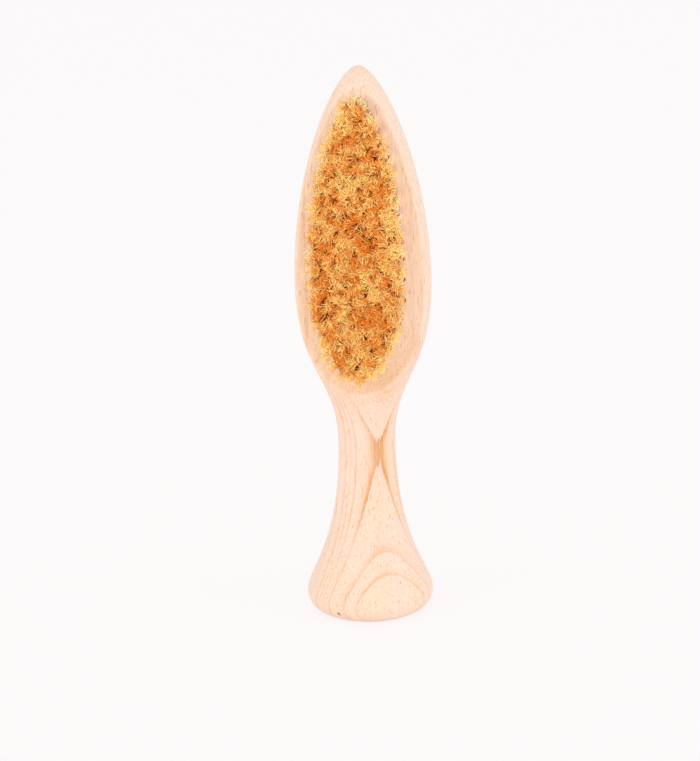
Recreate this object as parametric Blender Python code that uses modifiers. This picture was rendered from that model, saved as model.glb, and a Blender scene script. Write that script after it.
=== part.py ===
"""Turned beech nail brush with a milled bristle face and anchored fibre tufts.

The body is turned about +Z and stands on its flat foot at the origin.  A flat face is milled
along the head, in front of the turning axis, and sweeps out through a concave curve above the
neck.  Blind holes are drilled square to that face, all to one depth, in rings that follow its
leaf shape.  Each one takes a tuft of fibre that is folded over a short flat wire, the anchor,
whose ends bite into the wood beside the foot of the hole.  The bristles point towards -Y.  All
sizes are in metres.
"""

import math
import random

import bmesh
import bpy
from mathutils import Matrix, Vector

MM = 0.001

# Turned body: radii, and heights above the flat base.
OVERALL_HEIGHT = 150.0 * MM
FOOT_BASE_RADIUS = 12.2 * MM
FOOT_RADIUS = 16.9 * MM
FOOT_EDGE_HEIGHT = 4.8 * MM
NECK_RADIUS = 7.6 * MM
NECK_HEIGHT = 46.8 * MM
HEAD_RADIUS = 18.1 * MM
HEAD_HEIGHT = 91.8 * MM

# How far each curve of the profile keeps its direction before it turns.
FOOT_SHOULDER = 5.1 * MM
FOOT_SWEEP = 28.6 * MM
NECK_SWEEP = 18.6 * MM
HEAD_LOWER_CROWN = 25.3 * MM
HEAD_UPPER_CROWN = 31.0 * MM
TIP_FULLNESS = 5.9 * MM

# Milled bristle face, and the concave curve by which it sweeps out above the neck.
FACE_OFFSET = 5.0 * MM
FACE_START_HEIGHT = 79.0 * MM
SCOOP_RADIUS = 24.0 * MM

# Drilled field.  Its outer ring of holes is a share of the face's width.  It ends short of the
# face's two ends, and is rounded over a length at each.  Each ring inside it has its ends
# further in, and the innermost one is a straight row.
FIELD_SHARE = 0.6
FIELD_TOP_MARGIN = 4.9 * MM
FIELD_BOTTOM_MARGIN = 6.7 * MM
FIELD_TOP_ROUND = 16.0 * MM
FIELD_BOTTOM_ROUND = 17.0 * MM
SIDE_RINGS = 2
RING_TOP_STEP = 8.2 * MM
RING_BOTTOM_STEP = 5.6 * MM
TUFT_PITCH = 5.7 * MM
HOLE_DIAMETER = 3.8 * MM
HOLE_DEPTH = 7.0 * MM
HOLE_WALL = 0.4 * MM

# Anchors: flat wire through the fold of each tuft.  Each end bites into the wood.
ANCHOR_BITE = 0.5 * MM
ANCHOR_THICKNESS = 0.4 * MM
ANCHOR_WIDTH = 1.6 * MM
FOLD_THICKNESS = 0.5 * MM

# Tufts: the bristles' free length, and the locks of fibre that fan out from each hole.  A
# lock's size and distance from the middle are shares of the tuft's radius at that height.
FREE_LENGTH = 10.0 * MM
TRIM_VARIATION = 0.25 * MM
OUTER_LOCKS = 6
OUTER_LOCK_SIZE = 0.30
INNER_LOCKS = 3
INNER_LOCK_SIZE = 0.27
INNER_LOCK_PLACE = 0.31
LOCK_SIDES = 3
LOCK_JITTER = 0.03
ROOT_PACKING = 0.86
TUFT_VARIANTS = 6

# Clearances.
FIT_GAP = 0.3 * MM
TIP_GAP = 0.1 * MM
MERGE = 0.01 * MM

# How far a cutting tool reaches past the wood.
TOOL_OVERRUN = 4.0 * MM

# Facets of the round surfaces, and of the finer outline that the drilled field is laid out by.
TURNED_STEPS = 44
HOLE_SIDES = 10
EDGE_SEGMENTS = 5
CURVE_SEGMENTS = 9
TIP_SEGMENTS = 12
SCOOP_SEGMENTS = 12
LAYOUT_SEGMENTS = 64
LAYOUT_HALVINGS = 30
LAYOUT_POINTS = 90
SHARP_ANGLE = 37.0

SEED = 11


def bezier(start, start_handle, end_handle, end, segments):
    """Return the points of a cubic curve after its start, up to and including its end."""
    points = []
    for index in range(1, segments + 1):
        t = index / segments
        s = 1.0 - t
        weights = (s ** 3, 3.0 * s * s * t, 3.0 * s * t * t, t ** 3)
        corners = (start, start_handle, end_handle, end)
        points.append(tuple(sum(w * c[axis] for w, c in zip(weights, corners)) for axis in (0, 1)))
    return points


def turned_profile(segments, tip_segments):
    """Return (radius, height) pairs of the turned outline, from the tip down to the base."""
    tip = (0.0, OVERALL_HEIGHT)
    widest = (HEAD_RADIUS, HEAD_HEIGHT)
    neck = (NECK_RADIUS, NECK_HEIGHT)
    foot = (FOOT_RADIUS, FOOT_EDGE_HEIGHT)
    points = [tip]
    points += bezier(tip, (TIP_FULLNESS, OVERALL_HEIGHT),
                     (HEAD_RADIUS, HEAD_HEIGHT + HEAD_UPPER_CROWN), widest, tip_segments)
    points += bezier(widest, (HEAD_RADIUS, HEAD_HEIGHT - HEAD_LOWER_CROWN),
                     (NECK_RADIUS, NECK_HEIGHT + NECK_SWEEP), neck, segments)
    points += bezier(neck, (NECK_RADIUS, NECK_HEIGHT - FOOT_SWEEP),
                     (FOOT_RADIUS, FOOT_EDGE_HEIGHT + FOOT_SHOULDER), foot, segments)
    for index in range(1, EDGE_SEGMENTS + 1):
        angle = 0.5 * math.pi * index / EDGE_SEGMENTS
        radius = FOOT_BASE_RADIUS + (FOOT_RADIUS - FOOT_BASE_RADIUS) * math.cos(angle)
        points.append((radius, FOOT_EDGE_HEIGHT * (1.0 - math.sin(angle))))
    points.append((0.0, 0.0))
    return points


def turned_radius(height):
    """Return the body's radius at a height, read from a fine copy of the profile."""
    profile = turned_profile(LAYOUT_SEGMENTS, LAYOUT_SEGMENTS)
    for (upper_radius, upper), (lower_radius, lower) in zip(profile, profile[1:]):
        if lower <= height <= upper and upper > lower:
            share = (height - lower) / (upper - lower)
            return lower_radius + share * (upper_radius - lower_radius)
    return 0.0


def face_depth(height):
    """Return how far in front of the turning axis the cut lies at a height."""
    drop = min(max(FACE_START_HEIGHT - height, 0.0), SCOOP_RADIUS)
    return FACE_OFFSET + SCOOP_RADIUS - math.sqrt(SCOOP_RADIUS ** 2 - drop ** 2)


def face_half_width(height):
    """Return half the width of the cut at a height."""
    return math.sqrt(max(turned_radius(height) ** 2 - face_depth(height) ** 2, 0.0))


def last_height(inside, outside, half_width):
    """Return where the cut, followed from one height to another, gets narrower than a width."""
    for _ in range(LAYOUT_HALVINGS):
        middle = 0.5 * (inside + outside)
        if face_half_width(middle) > half_width:
            inside = middle
        else:
            outside = middle
    return inside


def rounding(distance, length):
    """Return the share of its width that a rounded end has at a distance from its tip."""
    share = 1.0 - min(max(distance / length, 0.0), 1.0)
    return math.sqrt(1.0 - share * share)


def ring_outline(ring, bottom, top):
    """Return (x, z) pairs up one side of a ring of holes; the outer ring is number 0."""
    low = bottom + ring * RING_BOTTOM_STEP
    high = top - ring * RING_TOP_STEP
    points = []
    for index in range(LAYOUT_POINTS + 1):
        share = 0.5 - 0.5 * math.cos(math.pi * index / LAYOUT_POINTS)
        outer = bottom + share * (top - bottom)
        width = FIELD_SHARE * face_half_width(outer) * (1.0 - ring / SIDE_RINGS)
        width *= rounding(outer - bottom, FIELD_BOTTOM_ROUND) * rounding(top - outer, FIELD_TOP_ROUND)
        points.append((width, low + share * (high - low)))
    return points


def spaced_points(outline, pitch):
    """Return the points that divide an outline into equal steps of about one pitch."""
    lengths = [0.0]
    for start, end in zip(outline, outline[1:]):
        lengths.append(lengths[-1] + math.dist(start, end))
    steps = max(round(lengths[-1] / pitch), 1)
    spaced = [outline[0]]
    for step in range(1, steps):
        wanted = lengths[-1] * step / steps
        index = next(i for i, length in enumerate(lengths) if length >= wanted)
        share = (wanted - lengths[index - 1]) / (lengths[index] - lengths[index - 1])
        spaced.append(tuple(a + share * (b - a) for a, b in zip(outline[index - 1], outline[index])))
    return spaced + [outline[-1]]


def tuft_places():
    """Return (row, number, x, z) of every hole: row 0 is the middle one, and -X is negative.

    A hole stays out where the wall to one that is already placed would be too thin, and a pair
    stands far enough from the middle for its anchors to pass each other.
    """
    bottom = last_height(HEAD_HEIGHT, NECK_HEIGHT, 0.0) + FIELD_BOTTOM_MARGIN
    top = last_height(HEAD_HEIGHT, OVERALL_HEIGHT, 0.0) - FIELD_TOP_MARGIN
    least_side = anchor_half_length() + FIT_GAP
    rows = {row: [] for row in range(SIDE_RINGS + 1)}
    for ring in range(SIDE_RINGS + 1):
        for width, z in spaced_points(ring_outline(ring, bottom, top), TUFT_PITCH):
            row = SIDE_RINGS - ring if width > 0.5 * least_side else 0
            x = max(width, least_side) if row else 0.0
            placed = [place for others in rows.values() for place in others]
            if all(math.dist((x, z), place) > HOLE_DIAMETER + HOLE_WALL for place in placed):
                rows[row].append((x, z))
    places = []
    for row, holes in rows.items():
        for number, (x, z) in enumerate(sorted(holes, key=lambda hole: hole[1]), 1):
            for side in (-1, 1) if row else (0,):
                places.append((side * row, number, side * x, z))
    return places


def least_spacing(places):
    """Return the smallest distance between two neighbouring holes."""
    spacing = []
    for index, (_, _, x, z) in enumerate(places):
        spacing += [math.hypot(x - other[2], z - other[3]) for other in places[index + 1:]]
    return min(spacing)


def new_collection(name):
    """Make a collection in the scene."""
    collection = bpy.data.collections.new(name)
    bpy.context.scene.collection.children.link(collection)
    return collection


def new_material(name, colour, roughness, metallic=0.0):
    """Make a plain Principled material."""
    material = bpy.data.materials.new(name)
    material.use_nodes = True
    shader = material.node_tree.nodes["Principled BSDF"]
    shader.inputs["Base Color"].default_value = (*colour, 1.0)
    shader.inputs["Roughness"].default_value = roughness
    shader.inputs["Metallic"].default_value = metallic
    return material


def mesh_from(mesh_builder, name):
    """Turn a bmesh into a mesh."""
    mesh = bpy.data.meshes.new(name)
    mesh_builder.to_mesh(mesh)
    mesh_builder.free()
    return mesh


def add_object(name, mesh, collection, material=None):
    """Add an object to a collection, with its material."""
    item = bpy.data.objects.new(name, mesh)
    collection.objects.link(item)
    if material is not None and not mesh.materials:
        mesh.materials.append(material)
    return item


def as_cutter(item):
    """Mark an object as a cutting tool."""
    item.display_type = "WIRE"
    item.hide_render = True
    return item


def add_boolean(item, operation, tool, crossing=False):
    """Cut an object with a tool, or join the tool to it; the tool's own shapes may cross."""
    boolean = item.modifiers.new(operation.title() + "_" + tool.name, "BOOLEAN")
    boolean.operation = operation
    boolean.solver = "EXACT"
    boolean.use_self = crossing
    boolean.object = tool


def evaluated_mesh(item, name):
    """Return the mesh of an object with its modifiers applied."""
    bpy.context.view_layer.update()
    graph = bpy.context.evaluated_depsgraph_get()
    mesh = bpy.data.meshes.new_from_object(item.evaluated_get(graph))
    mesh.name = name
    return mesh


def face_cutter(collection):
    """Make the tool that mills the flat face and the concave curve at its lower end."""
    outside = max(HEAD_RADIUS, FACE_OFFSET + SCOOP_RADIUS) + TOOL_OVERRUN
    above = OVERALL_HEIGHT + TOOL_OVERRUN
    outline = [(-outside, above), (-FACE_OFFSET, above)]
    for index in range(SCOOP_SEGMENTS + 1):
        angle = 0.5 * math.pi * index / SCOOP_SEGMENTS
        outline.append((-FACE_OFFSET - SCOOP_RADIUS * (1.0 - math.cos(angle)),
                        FACE_START_HEIGHT - SCOOP_RADIUS * math.sin(angle)))
    outline.append((-outside, FACE_START_HEIGHT - SCOOP_RADIUS))

    curve = bpy.data.curves.new("face_outline", "CURVE")
    curve.dimensions = "2D"
    curve.fill_mode = "BOTH"
    curve.extrude = outside
    spline = curve.splines.new("POLY")
    spline.points.add(len(outline) - 1)
    for point, (depth, height) in zip(spline.points, outline):
        point.co = (depth, height, 0.0, 1.0)
    spline.use_cyclic_u = True
    guide = bpy.data.objects.new("face_outline", curve)
    collection.objects.link(guide)
    # The outline lies in the plane of the brush's side view, so it is swept across the face.
    guide.matrix_world = Matrix(((0, 0, 1, 0), (1, 0, 0, 0), (0, 1, 0, 0), (0, 0, 0, 1)))

    mesh = evaluated_mesh(guide, "face_cutter")
    weld = bmesh.new()
    weld.from_mesh(mesh)
    bmesh.ops.remove_doubles(weld, verts=weld.verts, dist=MERGE)
    weld.to_mesh(mesh)
    weld.free()
    cutter = add_object("face_cutter", mesh, collection)
    cutter.matrix_world = guide.matrix_world.copy()
    bpy.data.objects.remove(guide)
    return as_cutter(cutter)


def towards_face(x, depth, z):
    """Return the placing of a drilled shape: its own +Z points out of the face."""
    return Matrix.Translation((x, -FACE_OFFSET + depth, z)) @ Matrix.Rotation(0.5 * math.pi, 4, "X")


def hole_cutter(collection, places):
    """Make the drill for all tuft holes."""
    drill = bmesh.new()
    length = HOLE_DEPTH + HEAD_RADIUS
    for _, _, x, z in places:
        bmesh.ops.create_cone(drill, cap_ends=True, segments=HOLE_SIDES,
                              radius1=0.5 * HOLE_DIAMETER, radius2=0.5 * HOLE_DIAMETER, depth=length,
                              matrix=towards_face(x, HOLE_DEPTH - 0.5 * length, z))
    return as_cutter(add_object("hole_cutter", mesh_from(drill, "hole_cutter"), collection))


def anchor_half_length():
    """Return half the length of an anchor."""
    return 0.5 * HOLE_DIAMETER + ANCHOR_BITE


def slot_cutter(collection, places):
    """Make the shape of the wood that the anchors' ends push aside."""
    slots = bmesh.new()
    length = 2.0 * (anchor_half_length() + FIT_GAP)
    thickness = ANCHOR_THICKNESS + 2.0 * FIT_GAP
    height = ANCHOR_WIDTH + 2.0 * FIT_GAP
    middle = HOLE_DEPTH - FIT_GAP - FOLD_THICKNESS - 0.5 * ANCHOR_WIDTH
    for _, _, x, z in places:
        bmesh.ops.create_cube(slots, size=1.0,
                              matrix=towards_face(x, middle, z) @ Matrix.Diagonal(
                                  (length, thickness, height, 1.0)))
    return as_cutter(add_object("slot_cutter", mesh_from(slots, "slot_cutter"), collection))


def build_body(parts, cutters, places, material):
    """Turn the body, mill its face and drill it."""
    profile = bmesh.new()
    previous = None
    for radius, height in turned_profile(CURVE_SEGMENTS, TIP_SEGMENTS):
        vertex = profile.verts.new((radius, 0.0, height))
        if previous is not None:
            profile.edges.new((previous, vertex))
        previous = vertex
    body = add_object("brush_body", mesh_from(profile, "brush_body"), parts, material)

    turning = body.modifiers.new("Turning", "SCREW")
    turning.axis = "Z"
    turning.angle = 2.0 * math.pi
    turning.steps = TURNED_STEPS
    turning.render_steps = TURNED_STEPS
    turning.use_merge_vertices = True
    turning.merge_threshold = MERGE
    turning.use_smooth_shade = True

    add_boolean(body, "DIFFERENCE", face_cutter(cutters))
    add_boolean(body, "DIFFERENCE", hole_cutter(cutters, places))
    add_boolean(body, "DIFFERENCE", slot_cutter(cutters, places), crossing=True)

    # The flat face keeps its own direction up to the rim.
    body.modifiers.new("Face_normals", "WEIGHTED_NORMAL").keep_sharp = True
    return body


def add_lock(builder, direction, place, size, root_radius, tip_radius, length):
    """Add one lock of fibre that fans out with its tuft as it rises from the root."""
    sunk = FIT_GAP
    outward = Vector((math.cos(direction), math.sin(direction), 0.0))
    rings = []
    for height in (-sunk, length):
        radius = root_radius + (tip_radius - root_radius) * height / FREE_LENGTH
        centre = outward * (place * radius) + Vector((0.0, 0.0, height))
        ring = []
        for side in range(LOCK_SIDES):
            turn = direction + 2.0 * math.pi * side / LOCK_SIDES
            corner = Vector((math.cos(turn), math.sin(turn), 0.0)) * (size * radius)
            ring.append(builder.verts.new(centre + corner))
        rings.append(ring)
    builder.faces.new(list(reversed(rings[0])))
    builder.faces.new(rings[1])
    for side in range(LOCK_SIDES):
        following = (side + 1) % LOCK_SIDES
        builder.faces.new((rings[0][side], rings[0][following], rings[1][following], rings[1][side]))


def tuft_mesh(name, cutters, tip_radius, chance):
    """Return one tuft: its packed root, the anchor through the fold, and its locks of fibre."""
    plug_radius = 0.5 * HOLE_DIAMETER - FIT_GAP
    plug_length = HOLE_DEPTH - FIT_GAP
    plug = bmesh.new()
    bmesh.ops.create_cone(plug, cap_ends=True, segments=HOLE_SIDES, radius1=plug_radius,
                          radius2=plug_radius, depth=plug_length,
                          matrix=Matrix.Translation((0.0, 0.0, -0.5 * plug_length)))
    root = add_object(name, mesh_from(plug, name), cutters)

    fibre = bmesh.new()
    anchor_middle = -plug_length + FOLD_THICKNESS + 0.5 * ANCHOR_WIDTH
    bmesh.ops.create_cube(fibre, size=1.0,
                          matrix=Matrix.Translation((0.0, 0.0, anchor_middle)) @ Matrix.Diagonal(
                              (2.0 * anchor_half_length(), ANCHOR_THICKNESS, ANCHOR_WIDTH, 1.0)))
    root_radius = ROOT_PACKING * plug_radius
    turn = chance.uniform(0.0, math.pi)
    for index in range(OUTER_LOCKS):
        direction = turn + 2.0 * math.pi * (index + chance.uniform(-1.0, 1.0) * LOCK_JITTER) / OUTER_LOCKS
        length = FREE_LENGTH - chance.random() * TRIM_VARIATION
        add_lock(fibre, direction, 1.0 - OUTER_LOCK_SIZE, OUTER_LOCK_SIZE,
                 root_radius, tip_radius, length)
    # The inner locks stand in the gaps between the outer ones.
    for index in range(INNER_LOCKS):
        direction = turn + 2.0 * math.pi * index / INNER_LOCKS + math.pi / OUTER_LOCKS
        length = FREE_LENGTH - chance.random() * TRIM_VARIATION
        add_lock(fibre, direction, INNER_LOCK_PLACE, INNER_LOCK_SIZE,
                 root_radius, tip_radius, length)
    locks = add_object(name + "_locks", mesh_from(fibre, name + "_locks"), cutters)

    add_boolean(root, "UNION", locks)
    mesh = evaluated_mesh(root, name)
    bpy.data.objects.remove(root)
    bpy.data.objects.remove(locks)
    return mesh


def row_name(row):
    """Name a row by its side of the centre line and its place from it."""
    if row == 0:
        return "centre"
    return ("left" if row < 0 else "right") + str(abs(row))


def build_tufts(parts, cutters, places, material):
    """Set a tuft in every hole."""
    chance = random.Random(SEED)
    tip_radius = 0.5 * (least_spacing(places) - TIP_GAP)
    meshes = []
    for index in range(TUFT_VARIANTS):
        mesh = tuft_mesh("tuft_form_" + str(index + 1), cutters, tip_radius, chance)
        mesh.materials.clear()
        mesh.materials.append(material)
        mesh.shade_smooth()
        mesh.set_sharp_from_angle(angle=math.radians(SHARP_ANGLE))
        meshes.append(mesh)
    for row, number, x, z in places:
        name = "tuft_{}_{:02d}".format(row_name(row), number)
        tuft = add_object(name, chance.choice(meshes), parts, material)
        tuft.matrix_world = towards_face(x, 0.0, z)


def main():
    """Build the brush."""
    for item in list(bpy.data.objects):
        bpy.data.objects.remove(item)
    parts = new_collection("nail_brush")
    cutters = new_collection("nail_brush_cutters")
    beech = new_material("beech", (0.90, 0.66, 0.46), 0.62)
    fibre = new_material("tampico_fibre", (0.80, 0.43, 0.12), 0.70)
    places = tuft_places()
    build_body(parts, cutters, places, beech)
    build_tufts(parts, cutters, places, fibre)


main()
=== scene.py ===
"""Looks of a turned beech nail brush: its body, its field of fibre tufts and a plain studio.

The brush stands upright on its flat foot at the origin, and its bristles point towards -Y.
All sizes are in metres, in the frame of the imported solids.
"""

import logging
import math
from dataclasses import dataclass, fields
from enum import Enum
from functools import partial
from typing import Any, Callable, Iterable, Sequence

import bmesh
import bpy
import numpy as np
from mathutils import Matrix, Vector


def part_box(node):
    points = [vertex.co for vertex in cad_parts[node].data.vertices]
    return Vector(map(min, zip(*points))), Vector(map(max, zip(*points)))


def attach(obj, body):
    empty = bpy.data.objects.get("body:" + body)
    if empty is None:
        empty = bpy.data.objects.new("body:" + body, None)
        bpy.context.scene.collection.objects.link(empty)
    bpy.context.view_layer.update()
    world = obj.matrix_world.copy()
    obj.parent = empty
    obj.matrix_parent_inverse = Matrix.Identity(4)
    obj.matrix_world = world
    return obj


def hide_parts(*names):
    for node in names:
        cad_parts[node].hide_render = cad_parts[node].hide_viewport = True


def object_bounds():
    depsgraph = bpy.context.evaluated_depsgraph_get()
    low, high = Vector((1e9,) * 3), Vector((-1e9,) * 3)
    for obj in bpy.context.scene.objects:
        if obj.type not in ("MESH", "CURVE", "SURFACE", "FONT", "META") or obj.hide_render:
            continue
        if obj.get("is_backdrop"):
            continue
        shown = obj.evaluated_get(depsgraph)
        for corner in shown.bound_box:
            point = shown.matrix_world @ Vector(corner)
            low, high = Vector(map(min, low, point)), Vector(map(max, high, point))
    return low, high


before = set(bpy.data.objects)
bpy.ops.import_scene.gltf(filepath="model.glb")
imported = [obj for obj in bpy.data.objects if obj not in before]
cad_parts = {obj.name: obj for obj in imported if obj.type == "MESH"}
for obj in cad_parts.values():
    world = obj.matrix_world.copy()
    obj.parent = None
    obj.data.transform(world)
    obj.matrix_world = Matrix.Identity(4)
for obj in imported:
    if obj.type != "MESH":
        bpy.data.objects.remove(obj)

LOG = logging.getLogger("nail_brush")
MM = 0.001
FULL_TURN = 2.0 * math.pi

# The photograph's frame, in pixels.
FRAME_WIDTH = 700
FRAME_HEIGHT = 761


def linear(hex_colour: str) -> tuple[float, float, float, float]:
    """Turn an sRGB hex colour into linear red, green, blue and full alpha.

    Args:
        hex_colour: six hex digits with a leading hash sign.

    Returns:
        The four linear channels.
    """
    channels = [int(hex_colour[start:start + 2], 16) / 255.0 for start in (1, 3, 5)]
    low_end = 0.04045
    straight = [c / 12.92 if c <= low_end else ((c + 0.055) / 1.055) ** 2.4 for c in channels]
    return (*straight, 1.0)


def set_inputs(node: bpy.types.Node, values: dict[int | str, Any]) -> None:
    """Give a node's inputs their values and links.

    Args:
        node: the node.
        values: for each input, by name or place, a value, the socket that feeds it, or the node
            whose first output in use feeds it.
    """
    for key, value in values.items():
        if isinstance(value, bpy.types.Node):
            value = next(output for output in value.outputs if output.enabled)
        if isinstance(value, bpy.types.NodeSocket):
            node.id_data.links.new(value, node.inputs[key])
        else:
            node.inputs[key].default_value = value


def add_node(tree: bpy.types.NodeTree, kind: str, *feeds: Any,
             named: dict[str, Any] | None = None, **settings: Any) -> bpy.types.Node:
    """Add a node to a tree, with its settings, values and links.

    Args:
        tree: the node tree.
        kind: the node's type, or for a sum on numbers its operation, which is all capitals.
        *feeds: what its inputs in use get, from the first on, as in set_inputs.
        named: the same for inputs by name.
        **settings: properties of the node.

    Returns:
        The new node.
    """
    if kind.isupper():
        settings["operation"] = kind
        kind = "ShaderNodeMath"
    node = tree.nodes.new(kind)
    for name, value in settings.items():
        setattr(node, name, value)
    places = [place for place, socket in enumerate(node.inputs) if socket.enabled]
    set_inputs(node, dict(zip(places, feeds)) | (named or {}))
    return node


def set_ramp(node: bpy.types.Node, stops: Sequence[tuple[float, str]]) -> None:
    """Give a colour ramp its stops.

    Args:
        node: the colour ramp.
        stops: pairs of a place from 0 to 1 and an sRGB hex colour, in order.
    """
    elements = node.color_ramp.elements
    while len(elements) < len(stops):
        elements.new(1.0)
    for element, (place, colour) in zip(elements, stops):
        element.position = place
        element.color = linear(colour)


def new_material(name: str) -> tuple[bpy.types.Material, bpy.types.Node]:
    """Make a node material.

    Args:
        name: the material's name.

    Returns:
        The material and its Principled shader node.
    """
    material = bpy.data.materials.new(name)
    material.use_nodes = True
    return material, material.node_tree.nodes["Principled BSDF"]


def mesh_object(name: str, mesh: bpy.types.Mesh, material: bpy.types.Material) -> bpy.types.Object:
    """Add a mesh to the scene as an object at the origin.

    Args:
        name: the object's name.
        mesh: its mesh.
        material: its only material.

    Returns:
        The object.
    """
    item = bpy.data.objects.new(name, mesh)
    bpy.context.scene.collection.objects.link(item)
    mesh.materials.clear()
    mesh.materials.append(material)
    return item


def applied_mesh(item: bpy.types.Object, name: str) -> bpy.types.Mesh:
    """Return a plain mesh of an object with its modifiers applied.

    Args:
        item: the object.
        name: the new mesh's name.

    Returns:
        The new mesh.
    """
    bpy.context.view_layer.update()
    graph = bpy.context.evaluated_depsgraph_get()
    mesh = bpy.data.meshes.new_from_object(item.evaluated_get(graph))
    mesh.name = name
    return mesh


class Row(Enum):
    """A row of tufts, by the start of its nodes' names."""

    CENTRE = "tuft_centre"
    LEFT_INNER = "tuft_left1"
    LEFT_OUTER = "tuft_left2"
    RIGHT_INNER = "tuft_right1"
    RIGHT_OUTER = "tuft_right2"

    def nodes(self) -> list[str]:
        """Return the names of the row's nodes, in order."""
        return sorted(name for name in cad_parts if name.startswith(self.value + "_"))

    def number(self) -> float:
        """Return the row's number."""
        return float(list(Row).index(self))


def tuft_centre(node: str) -> tuple[float, float]:
    """Return the x and z of the middle of a tuft's node, given its name."""
    low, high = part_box(node)
    return 0.5 * (low[0] + high[0]), 0.5 * (low[2] + high[2])


@dataclass(frozen=True)
class WaxedBeech:
    """Steamed beech, turned, fine-sanded and waxed.

    The wood is pale pinkish straw. Its growth rings show as broad soft bands, each ending in a
    thin darker line. The pores and rays between them show as fine streaks along the grain, and as
    dots where the surface is cut across it. Widths, lengths, heights and depths are in millimetres.
    Depths lie square to the rings. They count from the turning axis, those of the rings towards
    the front and the others towards the back.
    """

    grain_turn: float = math.radians(31.0)
    ring_depths: tuple[float, ...] = (-17.0, -14.0, -11.0, -8.2, -5.6, -3.0, -0.5, 2.75, 4.2, 5.5,
                                      7.7, 11.6, 13.8)
    depth_range: float = 20.0
    early_wood: str = "#f9ddc4"
    middle_wood: str = "#f8d4b5"
    late_wood: str = "#f1b070"
    ring_line: str = "#d99a62"
    ring_stops: tuple[float, ...] = (0.0, 0.05, 0.5, 0.8, 0.93, 1.0)
    ring_sway: float = 0.22
    sway_marks: tuple[float, float] = (13.3, 38.0)
    sway_detail: float = 2.0
    ring_fray: float = 0.22

    # The fine streaks that the rays and vessels leave along the grain.
    streak_marks: tuple[float, float] = (0.42, 7.0)
    streak_detail: float = 3.0
    streak_roughness: float = 0.55
    streak_range: tuple[float, float] = (0.3, 0.7)
    streak_tones: tuple[float, float] = (0.93, 1.05)

    # Real pores are under 0.1 mm wide, which is too fine to show, so these are drawn coarser.
    pore_marks: tuple[float, float] = (0.3, 2.4)
    pore_detail: float = 1.0
    pore_range: tuple[float, float] = (0.28, 0.39)
    pore_depth: float = 0.64
    pore_colour: str = "#cf9a70"

    # Where the rings are faint, the wood is even: on the front of the head, low on the foot, at
    # the sides and back, and in patches. Where the neck flares into the head, the even wood is
    # painted darker, as painted shade under the head and its bristles.
    plain_wood: str = "#fbe1c9"
    head_fade_heights: tuple[float, float] = (53.0, 65.0)
    head_fade_share: float = 0.8
    front_depths: tuple[float, float] = (3.0, -2.0)
    foot_fade_heights: tuple[float, float] = (30.0, 14.0)
    foot_fade_share: float = 0.48
    side_fade_depths: tuple[float, float] = (-3.5, 0.5)
    side_fade_share: float = 0.55
    patch_marks: tuple[float, float] = (9.0, 26.0)
    patch_detail: float = 2.0
    patch_fade_range: tuple[float, float] = (0.4, 0.65)
    patch_fade_share: float = 0.25
    # Painted shade: the heights between which the flare under the head is darkened.
    flare_shade_top: tuple[float, float] = (86.0, 72.0)
    flare_shade_bottom: tuple[float, float] = (44.0, 56.0)
    blush: str = "#fde2d8"
    blush_range: tuple[float, float] = (0.35, 0.6)
    blush_share: float = 0.4

    knot_place: tuple[float, float, float] = (-6.3 * MM, -15.2 * MM, 2.8 * MM)
    knot_radius: float = 0.6 * MM
    knot_spread: float = 1.8
    knot_colour: str = "#b98a68"

    relief_share: float = 0.2
    relief_height: float = 0.2 * MM
    roughness: float = 0.46
    roughness_swing: float = 0.06
    ior: float = 1.5
    sheen: float = 0.6
    sheen_roughness: float = 0.4
    sheen_tint: str = "#fff0ee"

    def build(self) -> bpy.types.Material:
        """Make the material.

        Returns:
            The material.
        """
        material, shader = new_material("waxed_beech")
        add = partial(add_node, material.node_tree)
        place = add("ShaderNodeTexCoord").outputs["Object"]
        grain = add("ShaderNodeMapping", place, named={"Rotation": (0.0, 0.0, self.grain_turn)},
                    vector_type="TEXTURE")
        millimetres = add("ShaderNodeVectorMath", grain, 1.0 / MM, operation="SCALE")
        axes = add("ShaderNodeSeparateXYZ", millimetres).outputs
        depth, height = axes["Y"], axes["Z"]

        # Each kind of mark is noise that is drawn out along the grain.
        sway, streaks, pores, patches = (
            add("ShaderNodeTexNoise", add("ShaderNodeVectorMath", millimetres,
                                          (width, width, length), operation="DIVIDE"), 1.0, *noise)
            for (width, length), *noise in (
                (self.sway_marks, self.sway_detail),
                (self.streak_marks, self.streak_detail, self.streak_roughness),
                (self.pore_marks, self.pore_detail),
                (self.patch_marks, self.patch_detail)))
        streak_tone = add("ShaderNodeMapRange", streaks, *self.streak_range, *self.streak_tones)
        pore = add("ShaderNodeMapRange", pores, *self.pore_range, self.pore_depth, 0.0)
        bands = self.ring_bands(add, depth, sway, streaks)

        # Each of these rises smoothly from nothing, between two places, to its share.
        in_front, head_fade, foot_fade, side_fade, patch_fade, flare_shade_top, flare_shade_bottom, blush = (
            add("ShaderNodeMapRange", value, *ends, 0.0, top, interpolation_type="SMOOTHSTEP")
            for value, ends, top in (
                (depth, self.front_depths, 1.0),
                (height, self.head_fade_heights, self.head_fade_share),
                (height, self.foot_fade_heights, self.foot_fade_share),
                (depth, self.side_fade_depths, self.side_fade_share),
                (patches, self.patch_fade_range, self.patch_fade_share),
                (height, self.flare_shade_top, 1.0),
                (height, self.flare_shade_bottom, 1.0),
                (patches, self.blush_range, self.blush_share)))
        fade = add("MULTIPLY", head_fade, in_front)
        for other in (foot_fade, side_fade, patch_fade):
            fade = add("MAXIMUM", fade, other)
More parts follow.
